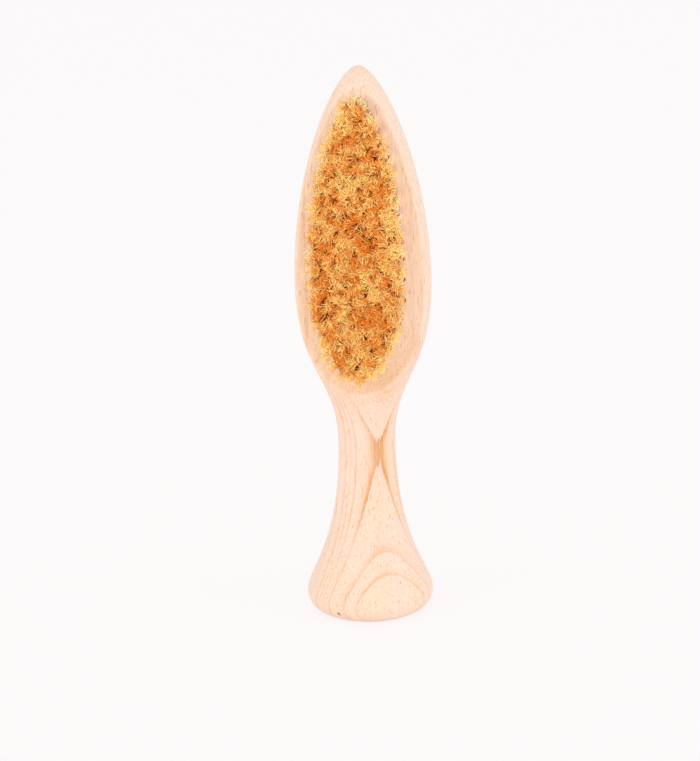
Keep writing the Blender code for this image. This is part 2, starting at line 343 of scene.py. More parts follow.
        # Painted shade: the even wood turns darker on the flare below the head and bristles.
        flare = add("MULTIPLY", flare_shade_top, flare_shade_bottom)
        even_wood = add("ShaderNodeMix", flare, linear(self.plain_wood), linear(self.middle_wood),
                        data_type="RGBA")
        faded = add("ShaderNodeMix", fade, bands, even_wood, data_type="RGBA")
        blushed = add("ShaderNodeMix", blush, faded, linear(self.blush), data_type="RGBA")
        streaked = add("ShaderNodeVectorMath", blushed, streak_tone, operation="SCALE")
        pored = add("ShaderNodeMix", pore, streaked, linear(self.pore_colour), data_type="RGBA")

        # One small knot, frayed along the grain.
        away = add("ShaderNodeVectorMath", place, self.knot_place, operation="DISTANCE")
        away = add("MULTIPLY_ADD", streaks, self.knot_radius, away)
        knot = add("ShaderNodeMapRange", away, self.knot_spread * self.knot_radius,
                   self.knot_radius, 0.0, 1.0, interpolation_type="SMOOTHSTEP")
        colour = add("ShaderNodeMix", knot, pored, linear(self.knot_colour), data_type="RGBA")

        sunk = add("SUBTRACT", streak_tone, pore)
        relief = add("ShaderNodeBump", named={"Height": sunk, "Strength": self.relief_share,
                                              "Distance": self.relief_height})
        rough = add("ShaderNodeMapRange", streaks, *self.streak_range,
                    self.roughness + self.roughness_swing, self.roughness - self.roughness_swing)
        set_inputs(shader, {
            "Base Color": colour, "Normal": relief, "Roughness": rough, "IOR": self.ior,
            "Sheen Weight": self.sheen, "Sheen Roughness": self.sheen_roughness,
            "Sheen Tint": linear(self.sheen_tint)})
        return material

    def ring_bands(self, add: Callable[..., bpy.types.Node], depth: bpy.types.NodeSocket,
                   sway: bpy.types.Node, streaks: bpy.types.Node) -> bpy.types.Node:
        """Colour the growth rings.

        They sway a little along the grain, and their edges fray along the fibres.

        Args:
            add: add_node for the material's tree.
            depth: how deep a point lies among the rings.
            sway: broad noise.
            streaks: fine noise along the grain.

        Returns:
            The node that gives the colour.
        """
        swayed = add("MULTIPLY_ADD", sway, 2.0 * self.ring_sway, depth)
        frayed = add("MULTIPLY_ADD", streaks, 2.0 * self.ring_fray, swayed)
        shift = self.ring_sway + self.ring_fray
        forward = add("MULTIPLY_ADD", frayed, -0.5 / self.depth_range,
                      0.5 + 0.5 * shift / self.depth_range)
        count = add("ShaderNodeFloatCurve", named={"Value": forward})
        self.set_ring_curve(count)
        ring = add("MULTIPLY", count, float(len(self.ring_depths) + 1))
        bands = add("ShaderNodeValToRGB", add("FRACT", ring))
        tones = (self.middle_wood, self.early_wood, self.early_wood, self.middle_wood,
                 self.late_wood, self.ring_line)
        set_ramp(bands, list(zip(self.ring_stops, tones)))
        return bands

    def set_ring_curve(self, node: bpy.types.Node) -> None:
        """Make a curve that counts the rings from the back to the front.

        Args:
            node: the float curve node, fed with how far forward a point lies, from 0 to 1.
        """
        curve = node.mapping.curves[0]
        edges = [-self.depth_range, *self.ring_depths, self.depth_range]
        shares = [0.5 + 0.5 * edge / self.depth_range for edge in edges]
        while len(curve.points) < len(edges):
            curve.points.new(0.5, 0.5)
        for index, (point, share) in enumerate(zip(curve.points, shares)):
            point.location = (share, index / (len(edges) - 1))
            point.handle_type = "VECTOR"
        node.mapping.update()


@dataclass(frozen=True)
class TampicoFibre:
    """Stiff plant fibre, washed and combed, its tips trimmed and softened by use.

    Each fibre is pale gold at its tip and darker, orange brown, towards its root; this darkening is
    painted shade, for the shade deep among the fibres. Between fibres, light is scattered many
    times, which the render's few bounces don't reach, so the fibre gives off a little light of its
    own colour instead.
    """

    tip_pale: str = "#ffe692"
    tip_deep: str = "#f19424"
    # The two root colours are painted shade: deep in the field the fibres lie in shade.
    root_pale: str = "#e66c0a"
    root_deep: str = "#922c02"
    # Painted highlight for the lit sides of the fibres at the field's edge.
    edge_highlight: str = "#ffedc4"
    shade_fades_from: float = 0.45
    inner_light: float = 0.15
    roughness: float = 0.62
    ior: float = 1.5

    def build(self) -> bpy.types.Material:
        """Make the material.

        Returns:
            The material.
        """
        material, shader = new_material("tampico_fibre")
        add = partial(add_node, material.node_tree)
        tone, height, edge = (add("ShaderNodeAttribute", attribute_name=name).outputs["Fac"]
                              for name in ("fibre_tone", "fibre_height", "fibre_edge_highlight"))
        roots = add("ShaderNodeMix", tone, linear(self.root_deep), linear(self.root_pale),
                    data_type="RGBA")
        tips = add("ShaderNodeMix", tone, linear(self.tip_deep), linear(self.tip_pale),
                   data_type="RGBA")
        # Painted shade: below this share of its free length, each fibre darkens towards the root
        # colours.
        along = add("ShaderNodeMapRange", height, self.shade_fades_from, 1.0,
                    interpolation_type="SMOOTHSTEP")
        gold = add("ShaderNodeMix", along, roots, tips, data_type="RGBA")
        # Painted highlight: near the field's edge, the fibres' sides are mixed towards a pale
        # cream.
        colour = add("ShaderNodeMix", edge, gold, linear(self.edge_highlight), data_type="RGBA")
        set_inputs(shader, {
            "Base Color": colour, "Emission Color": colour, "Emission Strength": self.inner_light,
            "Roughness": self.roughness, "IOR": self.ior})
        return material


@dataclass
class TurnedBody:
    """The one-piece wooden body: turned foot, neck and head, milled face and drilled holes."""

    wood: bpy.types.Material
    overall_height: float = 150.0 * MM
    foot_base_radius: float = 12.2 * MM
    foot_radius: float = 16.9 * MM
    foot_edge_height: float = 4.8 * MM
    neck_radius: float = 7.6 * MM
    neck_height: float = 46.8 * MM
    head_radius: float = 18.1 * MM
    head_height: float = 91.8 * MM
    foot_shoulder: float = 5.1 * MM
    foot_sweep: float = 28.6 * MM
    neck_sweep: float = 18.6 * MM
    head_lower_crown: float = 25.3 * MM
    head_upper_crown: float = 31.0 * MM
    tip_fullness: float = 5.9 * MM
    face_offset: float = 5.0 * MM
    face_start_height: float = 79.0 * MM
    sweep_radius: float = 24.0 * MM
    sweep_limit: float = 0.98
    rim_radius: float = 0.7 * MM

    # The solids' holes are 0.4 mm wider. These leave no dark edge beside the outer fibres.
    hole_diameter: float = 3.4 * MM
    hole_depth: float = 7.0 * MM

    # How fine the mesh is. Rows lie closer together where the rim of the face crosses them, and
    # columns where a row bends.
    row_spacing: float = 0.75 * MM
    rim_row_spacing: float = 0.3 * MM
    rim_zone: float = 1.6 * MM
    base_row_spacing: float = 1.6 * MM
    columns: int = 240
    bend_weight: float = 0.35
    hole_sides: int = 24
    curve_points: int = 400
    trial_turns: int = 1441
    halvings: int = 36
    sharp_angle: float = math.radians(50.0)

    def profile(self) -> np.ndarray:
        """Return the turned outline.

        Returns:
            Pairs of radius and height, finely spaced, from the tip down to the foot of the edge.
        """
        t = np.linspace(0.0, 1.0, self.curve_points)[:, None]

        def bezier(*corners: tuple[float, float]) -> np.ndarray:
            """Return the points of a cubic curve.

            Args:
                *corners: its start, two handles and end.

            Returns:
                Its points.
            """
            a, b, c, d = (np.array(corner) for corner in corners)
            return ((1 - t) ** 3 * a + 3 * (1 - t) ** 2 * t * b + 3 * (1 - t) * t ** 2 * c
                    + t ** 3 * d)

        tip = (0.0, self.overall_height)
        widest = (self.head_radius, self.head_height)
        neck = (self.neck_radius, self.neck_height)
        foot = (self.foot_radius, self.foot_edge_height)
        upper = bezier(tip, (self.tip_fullness, self.overall_height),
                       (self.head_radius, self.head_height + self.head_upper_crown), widest)
        lower = bezier(widest, (self.head_radius, self.head_height - self.head_lower_crown),
                       (self.neck_radius, self.neck_height + self.neck_sweep), neck)
        flare = bezier(neck, (self.neck_radius, self.neck_height - self.foot_sweep),
                       (self.foot_radius, self.foot_edge_height + self.foot_shoulder), foot)
        turn = 0.5 * math.pi * t
        edge = np.hstack((
            self.foot_base_radius + (self.foot_radius - self.foot_base_radius) * np.cos(turn),
            self.foot_edge_height * (1.0 - np.sin(turn))))
        return np.vstack((upper, lower[1:], flare[1:], edge[1:]))

    def face_depth(self, heights: np.ndarray) -> np.ndarray:
        """Return how far in front of the turning axis the cut face lies at each height."""
        drop = np.clip(self.face_start_height - heights, 0.0, self.sweep_limit * self.sweep_radius)
        return self.face_offset + self.sweep_radius - np.sqrt(self.sweep_radius ** 2 - drop ** 2)

    def outline_rows(self) -> np.ndarray:
        """Return the rows of the fine mesh, closer together where the rim crosses them.

        Returns:
            Pairs of radius and height from the tip, without its pole, to the edge of the base.
        """
        profile = self.profile()
        steps = np.linalg.norm(np.diff(profile, axis=0), axis=1)
        middle = 0.5 * (profile[1:] + profile[:-1])
        depth = self.face_depth(middle[:, 1])
        crossing = np.exp(-((middle[:, 0] - depth) / self.rim_zone) ** 2)
        density = (1.0 - crossing) / self.row_spacing + crossing / self.rim_row_spacing
        travelled = np.concatenate(([0.0], np.cumsum(steps * density)))
        rows = np.linspace(0.0, travelled[-1], int(travelled[-1]) + 1)[1:]
        return np.column_stack((np.interp(rows, travelled, profile[:, 0]),
                                np.interp(rows, travelled, profile[:, 1])))

    def section(self, radius: float, depth: float) -> np.ndarray:
        """Return one closed row round the body, with more points at the rim of the face.

        Args:
            radius: the turned radius.
            depth: how far in front of the axis the cut lies.

        Returns:
            The x and y of each point.
        """
        # Halving finds how far the body reaches in each direction, with its rim rounded.
        turns = np.linspace(-math.pi, math.pi, self.trial_turns)
        ease = min(self.rim_radius, 0.5 * radius)
        near, far = np.zeros_like(turns), np.full_like(turns, radius)
        for _ in range(self.halvings):
            reach = 0.5 * (near + far)
            past_round = reach - radius
            past_face = reach * np.cos(turns) - depth
            corner = np.hypot(np.maximum(past_round + ease, 0.0),
                              np.maximum(past_face + ease, 0.0)) - ease
            outside = np.where(np.minimum(past_round, past_face) > -ease, corner,
                               np.maximum(past_round, past_face)) > 0.0
            far = np.where(outside, reach, far)
            near = np.where(outside, near, reach)
        x, y = near * np.sin(turns), -near * np.cos(turns)
        lengths = np.hypot(np.diff(x), np.diff(y))
        heading = np.unwrap(np.arctan2(np.diff(y), np.diff(x)))
        bend = np.abs(np.gradient(heading))
        weight = lengths + self.bend_weight * radius * bend
        travelled = np.concatenate(([0.0], np.cumsum(weight)))
        stops = np.linspace(0.0, travelled[-1], self.columns + 1)[:-1]
        return np.column_stack((np.interp(stops, travelled, x), np.interp(stops, travelled, y)))

    def build_shell(self) -> bpy.types.Mesh:
        """Build the body without its holes.

        Returns:
            The closed mesh.
        """
        rows = self.outline_rows()
        base_rings = int(self.foot_base_radius / self.base_row_spacing)
        base = [(self.foot_base_radius * (1.0 - index / base_rings), 0.0)
                for index in range(1, base_rings)]
        rows = np.vstack((rows, base))
        depths = self.face_depth(rows[:, 1])
        points = [(0.0, 0.0, self.overall_height)]
        for (radius, height), depth in zip(rows, depths):
            points += [(x, y, height) for x, y in self.section(radius, depth)]
        points.append((0.0, 0.0, 0.0))
        last = len(points) - 1
        count = self.columns
        faces = []
        for row in range(len(rows)):
            start = 1 + row * count
            for column in range(count):
                following = (column + 1) % count
                if row == 0:
                    faces.append((0, start + column, start + following))
                else:
                    above = start - count
                    faces.append((above + column, start + column, start + following,
                                  above + following))
                if row == len(rows) - 1:
                    faces.append((start + column, last, start + following))
        mesh = bpy.data.meshes.new("brush_wood")
        mesh.from_pydata(points, [], faces)
        mesh.update()
        return mesh

    def drill(self, body: bpy.types.Object) -> None:
        """Drill the tuft holes into the body.

        Args:
            body: the body's object.
        """
        length = self.hole_depth + self.head_radius
        middle = -self.face_offset + self.hole_depth - 0.5 * length
        radius = 0.5 * self.hole_diameter
        bits = bmesh.new()
        for row in Row:
            for x, z in map(tuft_centre, row.nodes()):
                bmesh.ops.create_cone(bits, cap_ends=True, segments=self.hole_sides,
                                      radius1=radius, radius2=radius, depth=length,
                                      matrix=Matrix.Translation((x, middle, z))
                                      @ Matrix.Rotation(0.5 * math.pi, 4, "X"))
        mesh = bpy.data.meshes.new("drill_bits")
        bits.to_mesh(mesh)
        bits.free()
        tool = mesh_object("drill_bits", mesh, self.wood)
        cut = body.modifiers.new("Drilling", "BOOLEAN")
        cut.operation = "DIFFERENCE"
        cut.solver = "EXACT"
        cut.object = tool
        body.data = applied_mesh(body, "brush_wood")
        body.modifiers.clear()
        bpy.data.objects.remove(tool)

    def build(self) -> bpy.types.Object:
        """Build the body and put it in place of the plainer solid.

        Returns:
            The body's object.
        """
        body = mesh_object("brush_wood", self.build_shell(), self.wood)
        self.drill(body)
        body.data.shade_smooth()
        body.data.set_sharp_from_angle(angle=self.sharp_angle)
        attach(body, "root")
        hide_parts("brush_body")
        return body


@dataclass(frozen=True)
class FibreSizes:
    """Sizes of the fibres, each one a named input of the node group that grows them."""

    row: float = 0.0
    seed: int = 21

    # Where fibres stand. Tips lie evenly over the field, and roots at the nearest tuft's hole.
    tip_spacing: float = 0.27 * MM
    trial_density: float = 3.0e7
    root_sink: float = 2.5 * MM
    root_radius: float = 1.85 * MM
    loose_share: float = 0.5

    # The fibre. The real ones are finer, and these are coarser, to keep the count of faces down.
    free_length: float = 10.9 * MM
    length_variation: float = 1.5 * MM
    fibre_radius: float = 0.165 * MM
    thinnest: float = 0.75
    thickest: float = 1.2
    taper: float = -0.3
    points_per_fibre: int = 13
    fibre_sides: int = 3

    # How fibres fan out, clump, wander and curl.
    fan_power: float = 0.42
    clump_size: float = 1.5 * MM
    clump_pull: float = 0.84
    clump_power: float = 2.0
    stray: float = 0.35 * MM
    stray_rise: float = 2.0
    crimp_length: float = 4.2 * MM
    crimp_depth: float = 0.35 * MM
    curl_length: float = 3.6 * MM
    curl_bend: float = math.radians(95.0)
    curl_scatter: float = math.radians(75.0)
    least_curl: float = 0.4
    most_curl: float = 1.2
    edge_curl: float = 0.6
    added_inner_curl: float = 0.4

    # How pale fibres are: by patch, by clump and by fibre, and a painted highlight at the field's
    # edge.
    patch_scale: float = 0.24
    patch_detail: float = 1.0
    patch_depth: float = 0.95
    clump_tone: float = 0.62
    fibre_tone: float = 0.45
    deepest_tone: float = 0.24
    palest_tone: float = 0.86
    edge_width: float = 1.8 * MM
    edge_highlight_tone: float = 0.6
    edge_shine: float = 0.45
    edge_shine_by_tone: float = 0.5
    edge_shine_power: float = 3.0


@dataclass
class Growth:
    """Writer of the node group that grows a row's fibres."""

    sizes: FibreSizes
    fibre: bpy.types.Material

    def __post_init__(self) -> None:
        """Start the node group with its named inputs."""
        self.tree = bpy.data.node_groups.new("bristle_row", "GeometryNodeTree")
        face = self.tree.interface
        face.new_socket("Geometry", in_out="OUTPUT", socket_type="NodeSocketGeometry")
        face.new_socket("Geometry", in_out="INPUT", socket_type="NodeSocketGeometry")
        for size in fields(self.sizes):
            value = getattr(self.sizes, size.name)
            kind = "NodeSocketInt" if isinstance(value, int) else "NodeSocketFloat"
            socket = face.new_socket(self.title(size.name), in_out="INPUT", socket_type=kind)
            socket.default_value = value
        self.add = partial(add_node, self.tree)
        self.inputs = self.add("NodeGroupInput").outputs

    @staticmethod
    def title(name: str) -> str:
        """Return the input's name for a size."""
        return name.replace("_", " ").title()

    def size(self, name: str) -> bpy.types.NodeSocket:
        """Return the socket of a size."""
        return self.inputs[self.title(name)]

    def chance(self, offset: int, low: Any, high: Any,
               owner: bpy.types.Node | None = None) -> bpy.types.Node:
        """Return a random number for each point, or for each owner of points.

        Args:
            offset: which of its random numbers.
            low: the lowest value.
            high: the highest value.
            owner: the number of each point's owner.

        Returns:
            The node that gives the number.
        """
        seed = self.add("ADD", self.size("seed"), float(offset))
        named = {"Seed": seed, "ID": owner} if owner else {"Seed": seed}
        return self.add("FunctionNodeRandomValue", low, high, named=named, data_type="FLOAT")

    def tips(self) -> bpy.types.Node:
        """Scatter the tips evenly over the field and tie each to the nearest tuft.

        Returns:
            The points at the tufts' roots, with the way to the tip stored on each.
        """
        add, size, field = self.add, self.size, self.inputs["Geometry"]
        is_tuft, lift, row = (add("GeometryNodeInputNamedAttribute", name)
                              for name in ("is_tuft", "lift", "row"))
        tufts = add("GeometryNodeMeshToPoints", field, is_tuft)
        tips = add("GeometryNodeDistributePointsOnFaces", field, distribute_method="POISSON",
                   named={"Distance Min": size("tip_spacing"),
                          "Density Max": size("trial_density"), "Seed": size("seed")})
        nearest = add("GeometryNodeSampleNearest", tufts)
        place = add("GeometryNodeInputPosition")
        centre, lift, row = (
            add("GeometryNodeSampleIndex", tufts, value, nearest, data_type=kind)
            for value, kind in ((place, "FLOAT_VECTOR"), (lift, "FLOAT"), (row, "FLOAT")))

        # A root lies within the root radius, towards its tip, or anywhere if it is loose.
        away = add("ShaderNodeVectorMath", place, centre, operation="SUBTRACT")
        distance = add("ShaderNodeVectorMath", away, operation="LENGTH")
        share = add("MINIMUM", add("DIVIDE", size("root_radius"), distance), 1.0)
        toward_tip = add("ShaderNodeVectorMath", away, share, operation="SCALE")
        turn = self.chance(1, 0.0, FULL_TURN)
        off_centre = add("MULTIPLY", size("root_radius"), add("SQRT", self.chance(2, 0.0, 1.0)))
        anywhere = add("ShaderNodeCombineXYZ", add("MULTIPLY", off_centre, add("COSINE", turn)),
                       0.0, add("MULTIPLY", off_centre, add("SINE", turn)))
        loose = add("LESS_THAN", self.chance(3, 0.0, 1.0), size("loose_share"))
        at_root = add("ShaderNodeMix", loose, toward_tip, anywhere, data_type="VECTOR")
        drift = add("ShaderNodeVectorMath", away, at_root, operation="SUBTRACT")
        root = add("ShaderNodeVectorMath", centre, at_root, operation="ADD")
        edge = add("GeometryNodeProximity", field, target_element="EDGES").outputs["Distance"]
        for name, value, kind in (("drift", drift, "FLOAT_VECTOR"), ("from_edge", edge, "FLOAT"),
                                  ("lift", lift, "FLOAT"), ("root", root, "FLOAT_VECTOR")):
            tips = add("GeometryNodeStoreNamedAttribute", tips, data_type=kind, domain="POINT",
                       named={"Name": name, "Value": value})
        in_row = add("COMPARE", row, size("row"), 0.5)
        kept = add("GeometryNodeDeleteGeometry", tips, add("SUBTRACT", 1.0, in_row),
                   domain="POINT")
        root = add("GeometryNodeInputNamedAttribute", "root", data_type="FLOAT_VECTOR")
        return add("GeometryNodeSetPosition", kept, named={"Position": root})

    def straight_fibres(self) -> bpy.types.Node:
        """Stand a straight fibre on each root, with points to bend it at.

        Returns:
            The fibres, as curves.
        """
        add, size = self.add, self.size
        line = add("GeometryNodeCurvePrimitiveLine",
                   add("ShaderNodeCombineXYZ", 0.0, size("root_sink"), 0.0),
                   add("ShaderNodeCombineXYZ", 0.0,
                       add("MULTIPLY", size("free_length"), -1.0), 0.0))
        bendable = add("GeometryNodeResampleCurve", line,
                       named={"Count": size("points_per_fibre")})
        placed = add("GeometryNodeInstanceOnPoints", self.tips(), named={"Instance": bendable})
        return add("GeometryNodeRealizeInstances", placed)

    def write(self) -> bpy.types.NodeTree:
        """Write the whole group.

        Returns:
            The node group. It takes the outline of the tips and a point for each tuft.
        """
        add, size, chance = self.add, self.size, self.chance
        fibres = self.straight_fibres()
        fibre = add("GeometryNodeCurveOfPoint")
        along = add("GeometryNodeSplineParameter")
        lift, from_edge = (add("GeometryNodeInputNamedAttribute", name)
                           for name in ("lift", "from_edge"))
        drift, root = (
            add("ShaderNodeSeparateXYZ", add("GeometryNodeInputNamedAttribute", name,
                                             data_type="FLOAT_VECTOR")).outputs
            for name in ("drift", "root"))

        # How far up its free part a point of a fibre lies, and how near the field's edge.
        whole = add("ADD", size("free_length"), size("root_sink"))
        walked = add("MULTIPLY", along, whole)
        hidden = add("ADD", size("root_sink"), lift)
        up = add("DIVIDE", add("SUBTRACT", walked, hidden), add("SUBTRACT", whole, hidden))
        up = add("MAXIMUM", up, 0.0)
        fan = add("POWER", up, size("fan_power"))
        inside = add("ShaderNodeMapRange", from_edge, 0.0, size("edge_width"),
                     interpolation_type="SMOOTHSTEP")
        outside = add("SUBTRACT", 1.0, inside)

        # Tips that end close together are drawn into one clump, with gaps round it.
        tip_x, tip_z = (add("ADD", root[axis], drift[axis]) for axis in "XZ")
        tip = add("ShaderNodeCombineXYZ", add("DIVIDE", tip_x, size("clump_size")),
                  add("DIVIDE", tip_z, size("clump_size")))
        clump = add("ShaderNodeTexVoronoi", tip, 1.0, voronoi_dimensions="2D").outputs
        middle = add("ShaderNodeSeparateXYZ", clump["Position"]).outputs
        clump_chance = add("ShaderNodeSeparateXYZ", clump["Color"]).outputs
        pull = add("MULTIPLY", size("clump_pull"), add("POWER", up, size("clump_power")))

        # The last part of each fibre bends into an arc, mostly the way its clump bends.
        straight = add("SUBTRACT", whole, size("curl_length"))
        past = add("MAXIMUM", add("SUBTRACT", walked, straight), 0.0)
        bent_part = add("DIVIDE", past, size("curl_length"))
        bend = add("MULTIPLY", size("curl_bend"),
                   chance(6, size("least_curl"), size("most_curl"), fibre))
        bend = add("MULTIPLY", bend, add("MULTIPLY_ADD", inside, size("added_inner_curl"),
                                         size("edge_curl")))
        angle = add("MULTIPLY", bend, bent_part)
        arc_radius = add("DIVIDE", size("curl_length"), bend)
        curl = add("MULTIPLY", arc_radius, add("SUBTRACT", 1.0, add("COSINE", angle)))
        drawn_back = add("SUBTRACT", add("MULTIPLY", size("curl_length"), bent_part),
                         add("MULTIPLY", arc_radius, add("SINE", angle)))
        curl_turn = add("MULTIPLY_ADD", size("curl_scatter"), chance(5, -1.0, 1.0, fibre),
                        add("MULTIPLY", clump_chance["Y"], 2.0 * FULL_TURN))

        # Each fibre is crimped, and strays a little its own way.
        stray_turn = chance(3, 0.0, FULL_TURN, fibre)
        stray = add("MULTIPLY", size("stray"), chance(4, 0.0, 1.0, fibre))
        phase = add("MULTIPLY_ADD", walked, add("DIVIDE", FULL_TURN, size("crimp_length")),
                    chance(10, 0.0, FULL_TURN, fibre))
        wandering = add("MULTIPLY_ADD", add("SINE", phase), size("crimp_depth"), stray)
        risen = add("MINIMUM", add("MULTIPLY", up, size("stray_rise")), 1.0)
        wandering = add("MULTIPLY", wandering, risen)

        # Across the face the turns count by their cosines, and up it by their sines.
        sideways = []
        for trig, axis, tip_place, clump_place in (("COSINE", "X", tip_x, middle["X"]),
                                                   ("SINE", "Z", tip_z, middle["Y"])):
            total = add("MULTIPLY", drift[axis], fan)
            for reach, turn in ((wandering, stray_turn), (curl, curl_turn)):
                total = add("MULTIPLY_ADD", reach, add(trig, turn), total)
            to_clump = add("SUBTRACT", add("MULTIPLY", clump_place, size("clump_size")),
                           tip_place)
            sideways.append(add("MULTIPLY_ADD", to_clump, pull, total))
        shorter = add("MULTIPLY", size("length_variation"), chance(7, 0.0, 1.0, fibre))
        backward = add("ADD", drawn_back, add("MULTIPLY", shorter, up))
        offset = add("ShaderNodeCombineXYZ", sideways[0], backward, sideways[1])
        marked = add("GeometryNodeSetPosition", fibres, named={"Offset": offset})
        patches = add("ShaderNodeTexNoise", tip, size("patch_scale"), size("patch_detail"),
                      noise_dimensions="2D")
        tones = self.tones(patches, clump_chance["X"], fibre, outside, up)
        for name, value in tones.items():
            marked = add("GeometryNodeStoreNamedAttribute", marked, data_type="FLOAT",
                         domain="POINT", named={"Name": name, "Value": value})

        # Each fibre becomes a thin tube.
        radius = add("MULTIPLY", size("fibre_radius"),
                     chance(8, size("thinnest"), size("thickest"), fibre))
        radius = add("MULTIPLY", radius, add("MULTIPLY_ADD", along, size("taper"), 1.0))
        outline = add("GeometryNodeCurvePrimitiveCircle", size("fibre_sides"), 1.0)
        tubes = add("GeometryNodeCurveToMesh", marked,
                    named={"Profile Curve": outline, "Scale": radius, "Fill Caps": True})
        plain = add("GeometryNodeRealizeInstances", tubes)
        add("NodeGroupOutput",
            add("GeometryNodeSetMaterial", plain, named={"Material": self.fibre}))
        return self.tree

    def tones(self, patches: bpy.types.Node, clump_chance: bpy.types.NodeSocket,
              fibre: bpy.types.Node, outside: bpy.types.Node,
              up: bpy.types.Node) -> dict[str, bpy.types.Node]:
        """Work out the values that the fibre's material reads.

        Args:
            patches: broad noise over the field.
            clump_chance: a random number for each clump.
            fibre: the fibre's number.
            outside: how near the field's edge the fibre stands, from 0 to 1.
            up: how far up its free part the point lies, from 0 to 1.

        Returns:
            Each value, by the name it is stored under.
        """
        add, size = self.add, self.size
        patched = add("MULTIPLY_ADD", add("SUBTRACT", patches, 0.5), size("patch_depth"),
                      add("MULTIPLY", clump_chance, size("clump_tone")))
        mixed = add("MULTIPLY_ADD", self.chance(9, 0.0, 1.0, fibre), size("fibre_tone"), patched)
        even = add("ShaderNodeMapRange", mixed, size("deepest_tone"), size("palest_tone"),
                   interpolation_type="SMOOTHSTEP")
        # Painted highlight: fibres near the field's edge are paler, their sides below the tip carry
        # a pale cream, and they are spared the painted root shade.
        tone = add("MINIMUM", add("MULTIPLY_ADD", outside, size("edge_highlight_tone"), even), 1.0)
        shine = add("MULTIPLY_ADD", tone, size("edge_shine_by_tone"), size("edge_shine"))
        below_tip = add("SUBTRACT", 1.0, add("POWER", up, size("edge_shine_power")))
        return {"fibre_tone": tone, "fibre_height": add("MAXIMUM", up, outside),
                "fibre_edge_highlight": add("MULTIPLY", outside, add("MULTIPLY", shine, below_tip))}


@dataclass
class BristleField:
    """Tufts of curly fibre that splay to fill one leaf shape, an object for each row."""

    fibre: bpy.types.Material
    body: TurnedBody
    sizes: FibreSizes = FibreSizes()
    field_top: float = 144.6 * MM
    field_middle: float = 100.0 * MM
    field_bottom: float = 67.4 * MM
    field_half_width: float = 12.2 * MM
    left_top_power: float = 1.55
    right_top_power: float = 2.2
    bottom_power: float = 3.0
    round_power: float = 0.6
    outline_points: int = 48

    def half_width(self, heights: np.ndarray, top_power: float) -> np.ndarray:
        """Return how far the tips' outline reaches to one side.

        Args:
            heights: heights on the brush.
            top_power: how full the outline's upper part is on that side.

        Returns:
            The reach at each height.
        """
        above = np.clip((heights - self.field_middle) / (self.field_top - self.field_middle), 0, 1)
        below = np.clip((self.field_middle - heights)
                        / (self.field_middle - self.field_bottom), 0, 1)
        fall = above ** top_power + below ** self.bottom_power
        return self.field_half_width * (1.0 - fall) ** self.round_power

    def seeds(self) -> bpy.types.Mesh:
        """Make what the fibres grow from.

        Returns:
            A mesh with the outline of the tips as its one face, and a point for each tuft.
        """
        swing = 0.5 * (1.0 - np.cos(np.linspace(0.0, math.pi, self.outline_points)))
        heights = self.field_bottom + (self.field_top - self.field_bottom) * swing
        depth = -self.body.face_offset
        right, left = ([(side * reach, depth, height) for reach, height
                        in zip(self.half_width(heights, top_power), heights)]
                       for side, top_power in ((1.0, self.right_top_power),
                                               (-1.0, self.left_top_power)))
        outline = right + left[-2:0:-1]
        tufts = [(row, *tuft_centre(node)) for row in Row for node in row.nodes()]
        places = [(x, depth, z) for _, x, z in tufts]
        deep = self.body.face_depth(np.array([z for _, _, z in tufts]))
        mesh = bpy.data.meshes.new("seeds")
        mesh.from_pydata(outline + places, [], [range(len(outline))])
        for name, values in (
                ("is_tuft", [1.0] * len(tufts)), ("row", [row.number() for row, _, _ in tufts]),
                ("lift", [float(value) - self.body.face_offset for value in deep])):
            attribute = mesh.attributes.new(name, "FLOAT", "POINT")
            attribute.data.foreach_set("value", [0.0] * len(outline) + values)
        return mesh

    def build_row(self, row: Row, tree: bpy.types.NodeTree) -> bpy.types.Object:
        """Grow the fibres of one row.

        Args:
            row: which row.
            tree: the node group.

        Returns:
            The row's object.
        """
        name = row.value.replace("tuft", "bristles")
        item = mesh_object(name, self.seeds(), self.fibre)
        growth = item.modifiers.new("Growth", "NODES")
        growth.node_group = tree
        sockets = {s.name: s.identifier for s in tree.interface.items_tree
                   if s.in_out == "INPUT"}
        growth[sockets["Row"]] = row.number()
        item.data = applied_mesh(item, name)
        item.modifiers.clear()
        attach(item, "root")
        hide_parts(*row.nodes())
        return item

    def build(self) -> list[bpy.types.Object]:
        """Grow all rows, and return one object for each."""
        tree = Growth(self.sizes, self.fibre).write()
        return [self.build_row(row, tree) for row in Row]


@dataclass(frozen=True)
class Lamp:
    """A soft square lamp. Its colour is an sRGB hex value."""

    name: str
    place: tuple[float, float, float]
    side: float
    watts: float
    colour: str

    def build(self, target: Vector) -> bpy.types.Object:
        """Hang the lamp so that it faces a point.

        Args:
            target: the point.

        Returns:
            The lamp's object.
        """
        data = bpy.data.lights.new(self.name, "AREA")
        data.size = self.side
        data.energy = self.watts
        data.color = linear(self.colour)[:3]
        lamp = bpy.data.objects.new(self.name, data)
        lamp.location = self.place
        away = Vector(self.place) - target
        lamp.rotation_euler = away.to_track_quat("Z", "Y").to_euler()
        bpy.context.scene.collection.objects.link(lamp)
        return lamp


